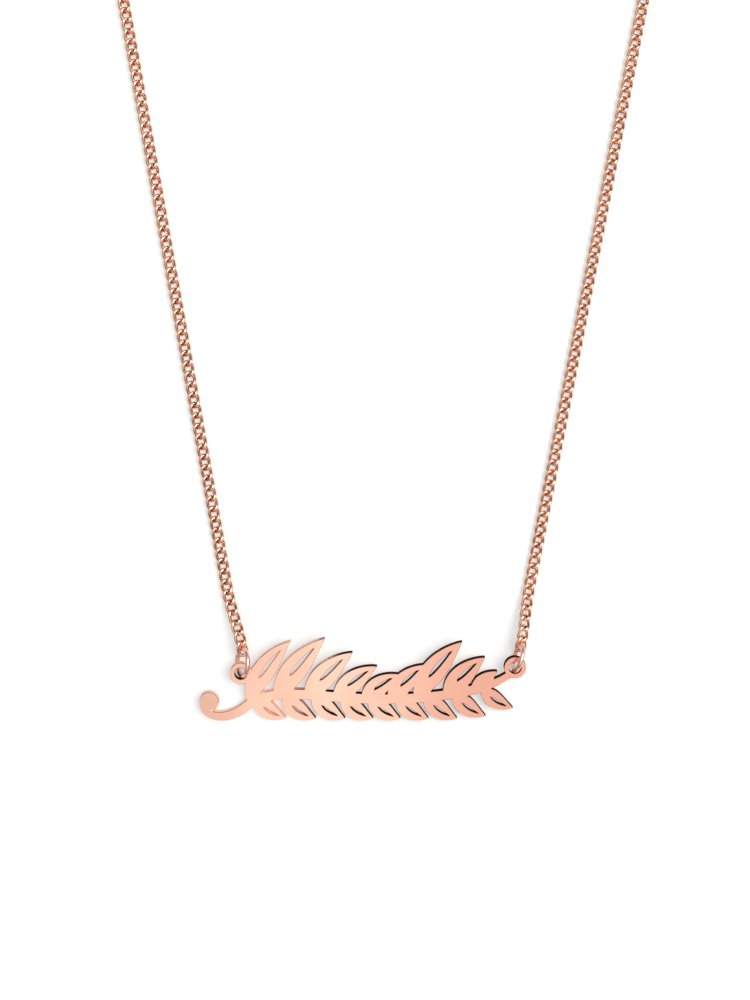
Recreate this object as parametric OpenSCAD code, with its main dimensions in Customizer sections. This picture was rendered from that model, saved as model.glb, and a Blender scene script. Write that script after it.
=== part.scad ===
// Nameplate necklace laid out on a flat surface: a pierced leaf-spray plate hung by two jump
// rings on a closed curb chain, with a spring-ring clasp at the back of the neck.
// Lengths are in millimetres. +X runs along the plate, +Y from the plate to the clasp, +Z up.

/* [Nameplate] */
// Length of the plate, from the curl's ball to the right eyelet
plate_w = 40; // [34:0.5:48]
// Height of the plate, from the lowest leaf to the tallest tip
plate_h = 10.3; // [8.5:0.1:12]
// Thickness of the sheet
plate_t = 1; // [0.8:0.05:1.1]
// Angle at which the plate leans on the wires of its jump rings
plate_tilt = 9; // [8:0.5:12]
// Width of the widest leaf
leaf_w = 2.9; // [2.4:0.1:3.3]
// Width of the stem where it is thinnest
stem_w = 0.85; // [0.7:0.05:1.1]
// Width of the widest slit along a leaf's rib
slit_w = 0.6; // [0.4:0.05:0.9]
// Diameter of the ball that ends the curl
ball_d = 2.4; // [1.8:0.1:2.8]
// Hole of an eyelet
eyelet_hole_d = 1.5; // [1.4:0.05:1.7]
// Metal around an eyelet's hole
eyelet_rim = 0.6; // [0.5:0.05:0.9]

/* [Jump rings] */
// Outer diameter of a jump ring
ring_d = 3.9; // [3.7:0.05:4.5]
// Diameter of a jump ring's wire
ring_wire = 0.58; // [0.5:0.02:0.6]
// How far the left ring is turned up from lying flat
left_turn = 60; // [58:1:75]
// How far the right ring is turned up from lying flat
right_turn = 81; // [75:1:90]

/* [Chain] */
// Length once round the necklace, along the chain, the clasp and the plate
loop_len = 450; // [400:5:600]
// Width of a curb link
chain_w = 1.58; // [1.54:0.02:1.8]
// Thickness of the chain lying flat
chain_t = 0.92; // [0.9:0.02:1.04]
// Diameter of a link's wire
link_wire = 0.43; // [0.35:0.02:0.43]
// Distance from one link to the next
link_pitch = 1.3; // [1.26:0.02:1.5]
// Lean of the left strand from the plate's upright
left_lean = 10; // [6:0.5:16]
// Lean of the right strand from the plate's upright
right_lean = 11; // [6:0.5:16]

/* [Clasp] */
// Outer diameter of the spring ring
clasp_d = 6; // [5:0.1:8]
// Diameter of the spring ring's tube
clasp_tube = 1.2; // [1:0.05:1.4]
// Thickness of the clasp's eyelet
clasp_tab_t = 0.8; // [0.6:0.05:1]
// Length of the clasp's thumb knob
knob_len = 0.9; // [0.6:0.1:1.4]

/* [Fit] */
// Air between pieces that lie on each other
gap = 0.05; // [0.02:0.01:0.1]

/* [Hidden] */
$fn = 48;

ROSE = [0.86, 0.62, 0.52];
ROSE_CHAIN = [0.78, 0.52, 0.42];

// How far a jump ring dips from its eyelet to the chain
ring_dip = 22.5;
// How far a ring's wire lies behind the centre of its eyelet
ring_behind = 0.27;
// How far a ring slides in its eyelet, as a share of the slide that would centre its wire
slide_share = 0.85;
// Turn of the ring in the clasp's tab
tab_turn = 78;
// Turn of the ring that the clasp is hooked through, its slide, and how far it lies behind the tube
catch_turn = 78;
catch_aside = 0.2;
catch_behind = 1.4;
// How far an end link has ridden up its ring, its roll, and the length over which both fade
end_rise = 0.4;
end_roll = 24;
lift_run = 7.5;

// Thickness of the clasp's knob, and where it stands on the tube
knob_d = 0.9;
knob_at = -60;

// Share of an eyelet's rim that is sunk into what carries it
rim_bite = 0.7;

// Plane and space helpers
function left_of(d) = [-d[1], d[0]];
function cross2(a, b) = a[0] * b[1] - a[1] * b[0];
function flat(p) = [p[0], p[1], 0];
function mix(a, b, t) = a + (b - a) * t;
function clamp01(x) = min(max(x, 0), 1);
function smooth(x) = let (t = clamp01(x)) t * t * (3 - 2 * t);
// Unit vectors along and to the right of a heading, counted left-handed from +Y
function ahead(a) = [-sin(a), cos(a), 0];
function beside(a) = [cos(a), sin(a), 0];

// A cubic Bezier curve and its direction
function bezier(p, t) =
    let (s = 1 - t)
    s * s * s * p[0] + 3 * s * s * t * p[1] + 3 * s * t * t * p[2] + t * t * t * p[3];
function bezier_dir(p, t) =
    let (s = 1 - t, d = s * s * (p[1] - p[0]) + 2 * s * t * (p[2] - p[1]) + t * t * (p[3] - p[2]))
    d / norm(d);
function bezier_side(p, t, off) = bezier(p, t) + left_of(bezier_dir(p, t)) * off;

// Plate outline, drawn with its lowest leaf near zero height.
// Columns of the leaf tables: where the leaf leaves the stem and where its tip is, as shares of
// the plate's length and height, its width as a share of leaf_w, the sideways bow of its rib as
// a share of its length, and its slit's width as a share of slit_w
ROOT_X = 0;
ROOT_Y = 1;
TIP_X = 2;
TIP_Y = 3;
WIDTH = 4;
BOW = 5;
SLIT = 6;
UPPER = [
    [0.147, 0.23, 0.282, 0.97, 0.96, 0.08, 0.80],
    [0.232, 0.26, 0.386, 1.00, 1.06, 0.06, 0.90],
    [0.324, 0.26, 0.470, 0.83, 1.00, 0.06, 0.85],
    [0.412, 0.25, 0.545, 0.66, 0.90, 0.07, 0.75],
    [0.498, 0.24, 0.615, 0.56, 0.84, 0.07, 0.70],
    [0.580, 0.24, 0.697, 0.68, 0.88, 0.07, 0.75],
    [0.660, 0.26, 0.804, 0.96, 1.04, 0.06, 0.90],
    [0.750, 0.29, 0.874, 0.77, 0.94, 0.06, 0.80],
    [0.834, 0.35, 0.912, 0.60, 0.62, 0.05, 0.00],
];
LOWER = [
    [0.170, 0.27, 0.266, 0.03, 0.78, -0.12, 0.60],
    [0.257, 0.30, 0.357, 0.02, 0.82, -0.12, 0.65],
    [0.347, 0.31, 0.447, 0.02, 0.82, -0.12, 0.65],
    [0.435, 0.29, 0.533, 0.02, 0.80, -0.12, 0.60],
    [0.520, 0.28, 0.617, 0.02, 0.80, -0.12, 0.60],
    [0.605, 0.29, 0.703, 0.02, 0.82, -0.12, 0.60],
    [0.690, 0.31, 0.791, 0.02, 0.82, -0.12, 0.65],
    [0.777, 0.34, 0.879, 0.05, 0.80, -0.12, 0.60],
    [0.864, 0.40, 0.962, 0.15, 0.72, -0.12, 0.60],
];
// Where a slit begins and ends along its leaf
slit_from = 0.32;
slit_to = 0.82;
// Steps along one side of a leaf and of a slit, and along each piece of the stem
leaf_steps = 14;
slit_steps = 10;
stem_steps = 12;
// How much fuller the stem is between its ends, and the share of it over which each end thins
stem_swell = 0.45;
stem_taper = 0.25;

function at(x, y) = [x * plate_w, y * plate_h];
function rib(row) =
    let (root = at(row[ROOT_X], row[ROOT_Y]), tip = at(row[TIP_X], row[TIP_Y]))
    let (d = tip - root, bow = left_of(d) * row[BOW])
    [root, mix(root, tip, 0.35) + bow, mix(root, tip, 0.7) + bow, tip];
// Half width of a leaf at the share u of its length, from 0 at both ends to 1 at its belly
function leaf_half(u) = pow(sin(180 * pow(u, 0.78)), 0.9);
function blade_side(rib, half, from, to, u) = bezier_side(rib, mix(from, to, u), half * leaf_half(u));
function blade(rib, half, from, to, steps) = [
    for (i = [0:steps]) blade_side(rib, half, from, to, i / steps),
    for (i = [steps - 1:-1:1]) blade_side(rib, -half, from, to, i / steps),
];
function leaf_outline(row) = blade(rib(row), row[WIDTH] * leaf_w / 2, 0, 1, leaf_steps);
function slit_outline(row) = blade(rib(row), row[SLIT] * slit_w / 2, slit_from, slit_to, slit_steps);

// Eyelets: the left one on the flank of the first leaf, the right one at the stem's end
eyelet_d = eyelet_hole_d + 2 * eyelet_rim;
lug_share = 0.272;
left_lug = let (row = UPPER[0], half = row[WIDTH] * leaf_w / 2 * leaf_half(lug_share))
    bezier_side(rib(row), lug_share, half + eyelet_d / 2 - rim_bite * eyelet_rim);
right_lug = [plate_w - eyelet_d / 2, 0.643 * plate_h];

// The stem: from the ball round its hook, along the plate and up to the right eyelet
ball_at = [ball_d / 2, 0.225 * plate_h];
STEM = [
    [ball_at - [(ball_d - stem_w) / 2, 0], at(0.008, 0.02), at(0.085, -0.03), at(0.145, 0.17)],
    [at(0.145, 0.17), at(0.20, 0.36), at(0.29, 0.33), at(0.40, 0.29)],
    [at(0.40, 0.29), at(0.55, 0.235), at(0.68, 0.25), at(0.80, 0.34)],
    [at(0.80, 0.34), at(0.86, 0.385), at(0.91, 0.45), right_lug - [0.3, 0.35] * eyelet_d],
];
// Half width at the share u of the stem: thin at both ends and fuller between
function stem_half(u) =
    stem_w / 2 * (1 + stem_swell * smooth(u / stem_taper) * smooth((1 - u) / stem_taper));
function stem_side(k, way) =
    let (piece = min(floor(k / stem_steps), len(STEM) - 1), t = k / stem_steps - piece)
    bezier_side(STEM[piece], t, way * stem_half(k / stem_steps / len(STEM)));
stem_outline = let (last = stem_steps * len(STEM))
    [for (k = [0:last]) stem_side(k, 1), for (k = [last:-1:0]) stem_side(k, -1)];

// The lowest point of the outline, which rests on the surface
foot = min([for (row = LOWER) for (p = leaf_outline(row)) p[1], for (p = stem_outline) p[1]]);

module garland() {
    for (row = concat(UPPER, LOWER))
        difference() {
            polygon(leaf_outline(row));
            if (row[SLIT] > 0) polygon(slit_outline(row));
        }
    polygon(stem_outline);
}

module nameplate() {
    color(ROSE)
        translate(origin)
        rotate([plate_tilt, 0, 0])
        translate([0, -foot, 0])
        difference() {
            union() {
                linear_extrude(plate_t) garland();
                translate(ball_at) cylinder(d = ball_d, h = plate_t);
                for (lug = [left_lug, right_lug]) translate(lug) cylinder(d = eyelet_d, h = plate_t);
            }
            for (lug = [left_lug, right_lug])
                translate([lug[0], lug[1], -1]) cylinder(d = eyelet_hole_d, h = plate_t + 2);
        }
}

// Where a point of the plate's outline lies, halfway through the sheet, as the plate rests
function on_plate(p) = [
    p[0],
    (p[1] - foot) * cos(plate_tilt) - plate_t / 2 * sin(plate_tilt),
    (p[1] - foot) * sin(plate_tilt) + plate_t / 2 * cos(plate_tilt),
];

// Route of the chain: the left and right strands run straight from the eyelets, leaning apart,
// and one arc that both meet smoothly joins them. side is 1 on the left and -1 on the right.
function eye(side) = on_plate(side > 0 ? left_lug : right_lug);
function lean(side) = side > 0 ? left_lean : -right_lean;
function inward(side) = side * beside(lean(side));
eye_span = flat(eye(-1) - eye(1));
spread = cross2(ahead(lean(1)), -ahead(lean(-1)));
// Length of one strand's straight run for an arc of radius r
function run_for(side, r) =
    let (d = eye_span + r * (inward(-1) - inward(1)))
    side > 0 ? cross2(d, -ahead(lean(-1))) / spread : cross2(ahead(lean(1)), d) / spread;
route_len = loop_len - norm(eye_span);
arc_rad = (180 + left_lean + right_lean) * PI / 180;
neck_r =
    let (fixed = run_for(1, 0) + run_for(-1, 0), slope = run_for(1, 1) + run_for(-1, 1) - fixed)
    (route_len - fixed) / (arc_rad + slope);
function run(side) = run_for(side, neck_r);
neck_mid = flat(eye(1)) + ahead(lean(1)) * run(1) + neck_r * inward(1);

function heading(side, s) = lean(side) - side * max(0, s - run(side)) / neck_r * 180 / PI;
function route(side, s) =
    s < run(side) ? flat(eye(side)) + ahead(lean(side)) * s
    : neck_mid - side * neck_r * beside(heading(side, s));

// A jump ring hangs in an eyelet and rests on the surface. Columns: the eyelet's centre, the
// heading from it to the chain, the ring's turn about that heading, how far it dips from the
// eyelet to the chain, how far its wire lies behind the eyelet's centre, and how far it has
// slid sideways
EYE = 0;
HEADING = 1;
TURN = 2;
DIP = 3;
BEHIND = 4;
ASIDE = 5;
ring_r = (ring_d - ring_wire) / 2;
function ring_lift(joint) =
    ring_wire / 2 + ring_r * sqrt(pow(sin(joint[DIP]), 2) + pow(sin(joint[TURN]) * cos(joint[DIP]), 2));
function ring_centre(joint) =
    flat(joint[EYE]) + ahead(joint[HEADING]) * (ring_r * cos(joint[DIP]) - joint[BEHIND])
    + beside(joint[HEADING]) * joint[ASIDE] + [0, 0, ring_lift(joint)];
// How far a turned ring slides sideways so that its wire goes near the middle of an eyelet at
// the height z
function slide(z, turn) =
    let (upright = sin(turn) * cos(ring_dip), swing = norm([sin(ring_dip), upright]))
    let (drop = acos((z - ring_wire / 2) / (ring_r * swing) - 1) - atan2(upright, sin(ring_dip)))
    slide_share * ring_r * sin(drop) * cos(turn);
// The ring's far side, where the chain's end link hangs
function ring_far(joint) =
    ring_centre(joint) + ring_r * (cos(joint[DIP]) * ahead(joint[HEADING]) - [0, 0, sin(joint[DIP])]);
module jump_ring(joint) {
    color(ROSE)
        translate(origin + ring_centre(joint))
        rotate([0, 0, 90 + joint[HEADING]])
        rotate([0, joint[DIP], 0])
        rotate([180 - joint[TURN], 0, 0])
        rotate_extrude() translate([ring_r, 0]) circle(d = ring_wire, $fn = 24);
}

// The clasp lies on a chord across the middle of the route, raised on the wires of its rings
tab_out = (clasp_d + eyelet_d) / 2 - rim_bite * eyelet_rim;
tube_r = (clasp_d - clasp_tube) / 2;
tab_reach = tab_out + 2 * ring_r * cos(ring_dip) - ring_behind;
catch_reach = tube_r + 2 * ring_r * cos(ring_dip) - catch_behind;
clasp_half = (tab_reach + catch_reach) / 2;
clasp_from = route(1, route_len / 2 - clasp_half);
clasp_to = route(-1, route_len / 2 - clasp_half);
clasp_axis = (clasp_to - clasp_from) / norm(clasp_to - clasp_from);
clasp_heading = atan2(-clasp_axis[0], clasp_axis[1]);
clasp_centre = clasp_from + clasp_axis * tab_reach + [0, 0, ring_wire + gap + clasp_tube / 2];

function eyelet_joint(eye, heading, turn) =
    [eye, heading, turn, ring_dip, ring_behind, slide(eye[2], turn)];
left_joint = eyelet_joint(eye(1), lean(1), left_turn);
right_joint = eyelet_joint(eye(-1), lean(-1), right_turn);
tab_joint = eyelet_joint(clasp_centre - clasp_axis * tab_out, clasp_heading + 180, tab_turn);
catch_joint = [
    clasp_centre + clasp_axis * tube_r, clasp_heading, catch_turn, ring_dip, catch_behind, catch_aside,
];

module clasp() {
    color(ROSE)
        translate(origin + clasp_centre)
        rotate([0, 0, 90 + clasp_heading]) {
            rotate_extrude() translate([tube_r, 0]) circle(d = clasp_tube, $fn = 32);
            translate([-tab_out, 0, 0]) difference() {
                cylinder(d = eyelet_d, h = clasp_tab_t, center = true);
                cylinder(d = eyelet_hole_d, h = clasp_tab_t + 1, center = true);
            }
            rotate([0, 0, knob_at]) translate([tube_r, 0, 0]) rotate([0, 90, 0])
                cylinder(d = knob_d, h = clasp_tube / 2 + knob_len);
        }
}

// A curb link: a closed wire, oval in plan and twisted so that its sides rise and fall
half_len = (link_pitch + link_wire + gap) / 2;
half_w = (chain_w - link_wire) / 2;
link_rise = (chain_t - link_wire) / 2;
function link_point(a) = [half_len * cos(a), half_w * sin(a), link_rise * sin(2 * a)];
function link_ahead(a) =
    let (d = [-half_len * sin(a), half_w * cos(a), 2 * link_rise * cos(2 * a)]) d / norm(d);

// Places of a strand: a point on it, its direction and its roll at a distance from the eyelet.
// Near both ends it climbs from the surface to the ring's far side and rolls with its link.
function near_joint(side) = side > 0 ? left_joint : right_joint;
function far_joint(side) = side > 0 ? tab_joint : catch_joint;
function ring_tangent(joint) =
    cos(joint[TURN]) * beside(joint[HEADING])
    + sin(joint[TURN]) * (cos(joint[DIP]) * [0, 0, 1] + sin(joint[DIP]) * ahead(joint[HEADING]));
function end_at(joint) = ring_far(joint) + end_rise * ring_tangent(joint);
near_s = 2 * ring_r * cos(ring_dip) - ring_behind;
far_s = route_len / 2 - clasp_half;
function lying(side, s) = route(side, s) + [0, 0, chain_t / 2];
function lift(x) = 1 - smooth(x / lift_run);
function strand(side, s) =
    lying(side, s)
    + (end_at(near_joint(side)) - lying(side, near_s)) * lift(s - near_s)
    + (end_at(far_joint(side)) - lying(side, far_s)) * lift(far_s - s);
function strand_ahead(side, s) =
    let (d = strand(side, s + 0.3) - strand(side, s - 0.3)) d / norm(d);
function strand_roll(side, s) = end_roll * (lift(s - near_s) - lift(far_s - s));
// A point given across and above the strand at a station
function on_strand(side, s, p) =
    let (x = strand_ahead(side, s), left = left_of(x) / norm(left_of(x)), y = [left[0], left[1], 0])
    let (z = cross(x, y), r = strand_roll(side, s))
    strand(side, s) + p[0] * x + p[1] * (cos(r) * y + sin(r) * z) + p[2] * (cos(r) * z - sin(r) * y);

// Faces of a skin over rows of points, each row going round once
function skin(rows, sides, closed) = [
    for (i = [0:rows - (closed ? 1 : 2)], j = [0:sides - 1])
        let (a = i * sides, b = (i + 1) % rows * sides, k = (j + 1) % sides)
        each [[a + j, a + k, b + k], [a + j, b + k, b + j]],
    if (!closed) [for (j = [sides - 1:-1:0]) j],
    if (!closed) [for (j = [0:sides - 1]) (rows - 1) * sides + j],
];

module end_link(side, s) {
    rows = 16;
    sides = 6;
    points = [
        for (i = [0:rows - 1])
            let (a = 360 * i / rows, x = link_ahead(a), out = [cos(a), sin(a), 0])
            let (u = (out - (out * x) * x) / norm(out - (out * x) * x), v = cross(x, u))
            for (j = [0:sides - 1])
                let (b = 360 * j / sides)
                on_strand(side, s, link_point(a) + link_wire / 2 * (cos(b) * u + sin(b) * v))
    ];
    polyhedron(points, skin(rows, sides, true));
}

// The strand between its end links, as one tube of the chain's width and thickness
tube_in = ring_wire / 2 + 2 * gap;
climb = [for (x = [0.06, 0.2, 0.35, 0.5, 0.65, 0.8, 1]) x * lift_run];
function arc_stations(side) =
    let (from = run(side), top = from + neck_r * abs(lean(side)) * PI / 180, to = far_s - lift_run)
    [for (i = [0:2]) mix(from, top, i / 3), for (i = [0:12]) mix(top, to, i / 13)];
function stations(side) = concat(
    [for (c = climb) near_s + tube_in + c * (1 - tube_in / lift_run)],
    arc_stations(side),
    [for (i = [len(climb) - 1:-1:0]) far_s - tube_in - climb[i] * (1 - tube_in / lift_run)]
);
module strand_tube(side) {
    sides = 8;
    half = 1 / cos(180 / sides) / 2;
    points = [
        for (s = stations(side), j = [0:sides - 1]) let (a = 360 * (j + 0.5) / sides)
            on_strand(side, s, [0, chain_w * half * cos(a), chain_t * half * sin(a)])
    ];
    polyhedron(points, skin(len(stations(side)), sides, false));
}
module chain(side) {
    color(ROSE_CHAIN) translate(origin) {
        end_link(side, near_s);
        strand_tube(side);
        end_link(side, far_s);
    }
}

// The whole necklace stands with the middle of its outline's box over the origin
low_y = -plate_t * sin(plate_tilt);
high_y = clasp_centre[1] + clasp_d / 2;
origin = [-neck_mid[0], -(low_y + high_y) / 2, 0];

nameplate();
jump_ring(left_joint);  // jump_ring_left
jump_ring(right_joint);  // jump_ring_right
chain(1);  // chain_left
chain(-1);  // chain_right
clasp();
jump_ring(tab_joint);  // clasp_ring
jump_ring(catch_joint);  // closure_ring
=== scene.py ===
"""Looks of a rose-gold nameplate necklace that lies on a pale table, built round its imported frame.

Lengths are in metres. +X runs along the plate, +Y from the plate to the clasp, +Z up.
"""

import math

import bmesh
import bpy
from bpy.props import FloatProperty, FloatVectorProperty, IntProperty, PointerProperty
from mathutils import Matrix, Vector


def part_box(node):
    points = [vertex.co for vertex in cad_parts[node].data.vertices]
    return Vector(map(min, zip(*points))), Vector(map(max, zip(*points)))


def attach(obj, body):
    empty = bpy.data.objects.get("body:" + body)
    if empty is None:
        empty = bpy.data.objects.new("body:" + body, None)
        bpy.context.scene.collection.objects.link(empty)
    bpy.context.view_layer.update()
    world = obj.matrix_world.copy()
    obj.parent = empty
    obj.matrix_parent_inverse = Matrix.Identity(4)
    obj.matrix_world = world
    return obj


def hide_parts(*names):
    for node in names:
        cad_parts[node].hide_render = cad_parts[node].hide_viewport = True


bl_info = {
    "name": "Nameplate Necklace",
    "version": (1, 0, 0),
    "blender": (4, 5, 0),
    "location": "View3D > Sidebar > Necklace",
    "description": "Builds a rose-gold nameplate on a curb chain round its packed frame",
    "category": "Object",
}

MM = 0.001
MERGE_REACH = 0.0005 * MM
SEED = 11
LEFT = 1
RIGHT = -1
QUARTER_TURN = math.radians(90)
HALF_TURN = math.radians(180)

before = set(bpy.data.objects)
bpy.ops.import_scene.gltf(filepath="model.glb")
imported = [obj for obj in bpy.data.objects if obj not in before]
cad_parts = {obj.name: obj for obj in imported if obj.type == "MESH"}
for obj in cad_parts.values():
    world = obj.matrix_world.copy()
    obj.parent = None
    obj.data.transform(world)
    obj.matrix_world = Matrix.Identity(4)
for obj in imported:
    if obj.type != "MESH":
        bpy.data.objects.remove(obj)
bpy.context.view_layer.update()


# User settings


def length(name, description, millimetres):
    """A length that is shown in the scene's own units"""
    return FloatProperty(
        name=name, description=description, default=millimetres * MM, unit="LENGTH", subtype="DISTANCE"
    )


def angle(name, description, degrees):
    """An angle that is shown in degrees"""
    return FloatProperty(
        name=name, description=description, default=math.radians(degrees), unit="ROTATION", subtype="ANGLE"
    )


def colour(name, description, default):
    """A linear colour"""
    return FloatVectorProperty(
        name=name, description=description, default=default, size=3, min=0, max=1, subtype="COLOR"
    )


def number(name, description, default):
    """A plain number"""
    return FloatProperty(name=name, description=description, default=default)


def count(name, description, default):
    """A whole number"""
    return IntProperty(name=name, description=description, default=default, min=3)


class NecklaceSizes(bpy.types.PropertyGroup):
    """Sizes of the necklace's pieces"""

    plate_tilt: angle("Plate Tilt", "How far the plate leans on its rings", 9)
    rim_cut: length("Rim Cut", "How far the plate's sharp rims are polished back", 0.05)
    # Painted reflection on the sawn edges: where it ends along the plate, how much further it reaches on
    # edges facing the curl, and how long it fades.
    painted_reflection_end: length("Polish End", "Where the polish on upright edges ends, along the plate", -13)
    painted_reflection_turn: length("Polish Turn", "How much further it goes on edges that face the curl", 9)
    painted_reflection_fade: length("Polish Fade", "Length over which the polish fades", 5)
    ring_d: length("Ring Diameter", "Outer diameter of a jump ring", 3.9)
    ring_wire: length("Ring Wire", "Diameter of a jump ring's wire", 0.58)
    ring_seam: length("Ring Seam", "Width of the slit where a ring's wire closes", 0.03)
    ring_points: count("Ring Points", "Corners once along a ring's wire", 97)
    ring_sides: count("Ring Sides", "Corners once round a ring's wire", 20)
    ring_dip: angle("Ring Dip", "How far a ring dips from its eyelet to the chain", 22.5)
    ring_behind: length("Ring Behind", "How far a ring lies behind its eyelet's centre", 0.27)
    left_turn: angle("Left Ring Turn", "How far the left ring is turned up from lying flat", 60)
    left_aside: length("Left Ring Slide", "How far the left ring has slid sideways", 0.441)
    right_turn: angle("Right Ring Turn", "How far the right ring is turned up from lying flat", 81)
    right_aside: length("Right Ring Slide", "How far the right ring has slid sideways", 0.131)
    clasp_turn: angle("Clasp Rings Turn", "How far the clasp's rings are turned up", 78)
    tab_aside: length("Tab Ring Slide", "How far the ring in the clasp's tab has slid", 0.218)
    catch_aside: length("Catch Ring Slide", "How far the ring in the clasp's hook has slid", 0.2)
    catch_behind: length("Catch Ring Behind", "How far that ring lies behind the clasp's tube", 1.4)
    loop_len: length("Loop Length", "Length once round the necklace", 450)
    left_lean: angle("Left Lean", "Lean of the left strand", 10)
    right_lean: angle("Right Lean", "Lean of the right strand", 11)
    chain_w: length("Link Width", "Width of a curb link", 1.58)
    chain_t: length("Chain Thickness", "Thickness of the chain lying flat", 0.92)
    link_wire: length("Link Wire", "Diameter of a link's wire", 0.455)
    link_pitch: length("Link Pitch", "Distance from one link to the next", 1.3)
    link_points: count("Link Points", "Corners once along a link's wire", 14)
    link_sides: count("Link Sides", "Corners once round a link's wire", 6)
    link_sway: angle("Link Sway", "Largest turn of a link out of line", 1.6)
    end_rise: length("End Link Rise", "How far an end link has ridden up its ring", 0.4)
    end_roll: angle("End Link Roll", "Roll of an end link", 24)
    lift_run: length("Lift Run", "Length over which a strand comes down to the table", 7.5)
    gap: length("Gap", "Air between pieces that lie on each other", 0.05)
    clasp_d: length("Clasp Diameter", "Outer diameter of the spring ring", 6)
    clasp_tube: length("Clasp Tube", "Diameter of the spring ring's tube", 1.2)
    clasp_tab_t: length("Tab Thickness", "Thickness of the clasp's eyelet", 0.8)
    eyelet_d: length("Eyelet Diameter", "Outer diameter of an eyelet", 2.7)
    eyelet_hole_d: length("Eyelet Hole", "Hole of an eyelet", 1.5)
    tab_bite: length("Tab Bite", "How far the tab is sunk into the tube", 0.42)
    knob_d: length("Knob Diameter", "Thickness of the clasp's knob", 0.9)
    knob_len: length("Knob Length", "How far the knob stands out of the tube", 0.9)
    knob_at: angle("Knob Place", "Where the knob stands on the tube", -60)


class NecklaceColours(bpy.types.PropertyGroup):
    """Colours of the necklace's plating, of the painted shade and reflections on it, and of the table"""

    plate: colour("Plate", "Polished face of the plate", (0.885, 0.488, 0.362))
    plate_pale: colour("Plate Pale", "Paler clouds in the plate's plating", (0.905, 0.538, 0.405))
    # Painted shade: the tone the plating turns to towards the right eyelet, redder and deeper, standing in
    # for the less lit right end.
    plate_painted_shade: colour("Plate Warm", "Redder plating towards the right eyelet", (0.97, 0.468, 0.342))
    # Painted shade: the sawn edge is drawn near black, standing in for the dark surroundings it mirrors;
    # the saw's streaks are lighter.
    cut: colour("Cut Edge", "Dark sawn edge of the plate", (0.030, 0.0090, 0.0060))
    cut_worn: colour("Worn Edge", "Lighter streaks of the sawn edge", (0.16, 0.050, 0.038))
    # Painted reflection: the bright colour drawn on sawn edges towards the curl.
    cut_painted_reflection: colour("Bright Edge", "Sawn edge that the polish reached", (0.98, 0.66, 0.54))
    wire: colour("Wire", "Polished wire of the rings and the clasp", (0.98, 0.63, 0.52))
    wire_deep: colour("Deep Wire", "Redder wire where polishing didn't reach", (0.62, 0.22, 0.14))
    chain: colour("Chain", "Polished side of a link", (0.93, 0.57, 0.41))
    # Painted shade: the deep copper drawn on each link's inner sides.
    chain_painted_shade: colour("Chain Deep", "Inner side of a link", (0.66, 0.26, 0.145))
    table: colour("Table", "Plain table", (0.46, 0.46, 0.462))
    table_glow: colour("Table Glow", "Light that fills the table's shadows", (0.96, 0.99, 1.0))


class NecklaceStudio(bpy.types.PropertyGroup):
    """Camera and lights"""

    eye_x: length("Camera X", "Middle of the picture along the plate", -1.48)
    eye_y: length("Camera Y", "Middle of the picture along the chain", -68.37)
    eye_height: length("Camera Height", "Height of the lens above the table", 171.5)
    lens: number("Lens", "Focal length in millimetres", 50.0)
    sky: number("Sky", "Strength of the light from overhead", 0.90)
    horizon: number("Horizon", "Strength of the light from the sides", 0.18)
    backdrop: number("Backdrop", "Brightness of the wall behind the table", 0.92)
    glow: number("Table Glow", "How bright the table is by itself", 0.48)
    key: number("Key", "Brightness of the main panel", 7.0)
    strip: number("Strip", "Brightness of the panel that the plate mirrors", 0.6)


# Node trees


class Wire:
    """A socket of a node tree. Maths on it adds Math nodes, and node() adds any other node."""

    def __init__(self, tree, socket=None):
        self.tree = tree
        self.socket = socket

    def node(self, kind, settings=None, values=None, out=0):
        """Adds a node from its type, its settings and the values or links of its sockets"""
        made = self.tree.nodes.new(kind)
        for name, value in (settings or {}).items():
            setattr(made, name, value)
        for name, value in (values or {}).items():
            if isinstance(value, Wire):
                self.tree.links.new(value.socket, made.inputs[name])
            else:
                made.inputs[name].default_value = value
        return Wire(self.tree, made.outputs[out] if made.outputs else None)

    def math(self, operation, *operands):
        """Adds a Math node"""
        return self.node("ShaderNodeMath", {"operation": operation}, dict(enumerate(operands)))

    def vector(self, operation, *operands, out="Vector"):
        """Adds a Vector Math node"""
        return self.node(
            "ShaderNodeVectorMath", {"operation": operation}, dict(enumerate(operands)), out=out
        )

    def __add__(self, other):
        return self.math("ADD", self, other)

    def __radd__(self, other):
        return self.math("ADD", other, self)

    def __sub__(self, other):
        return self.math("SUBTRACT", self, other)

    def __rsub__(self, other):
        return self.math("SUBTRACT", other, self)

    def __mul__(self, other):
        return self.math("MULTIPLY", self, other)

    def __rmul__(self, other):
        return self.math("MULTIPLY", other, self)

    def sin(self):
        return self.math("SINE", self)

    def cos(self):
        return self.math("COSINE", self)

    def ease(self, low, high):
        """0 below low and 1 above high, with a smooth climb between"""
        values = {0: self, 1: low, 2: high, 3: 0.0, 4: 1.0}
        return self.node("ShaderNodeMapRange", {"interpolation_type": "SMOOTHSTEP"}, values)

    def between(self, a, b):
        """A colour from a to b, with this socket as the factor"""
        return self.node("ShaderNodeMix", {"data_type": "RGBA"}, {0: self, 6: a, 7: b}, out=2)


def rgba(tone):
    """A colour socket's value"""
    return (*tone, 1.0)


def geometry_tree(name, inputs):
    """A geometry node tree with the named inputs, given as a dict of name and socket type"""
    tree = bpy.data.node_groups.new(name, "GeometryNodeTree")
    for title, kind in inputs.items():
        tree.interface.new_socket(title, in_out="INPUT", socket_type="NodeSocket" + kind)
    tree.interface.new_socket("Geometry", in_out="OUTPUT", socket_type="NodeSocketGeometry")
    group = tree.nodes.new("NodeGroupInput")
    sockets = {title: Wire(tree, group.outputs[title]) for title in inputs}
    return Wire(tree), sockets


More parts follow.
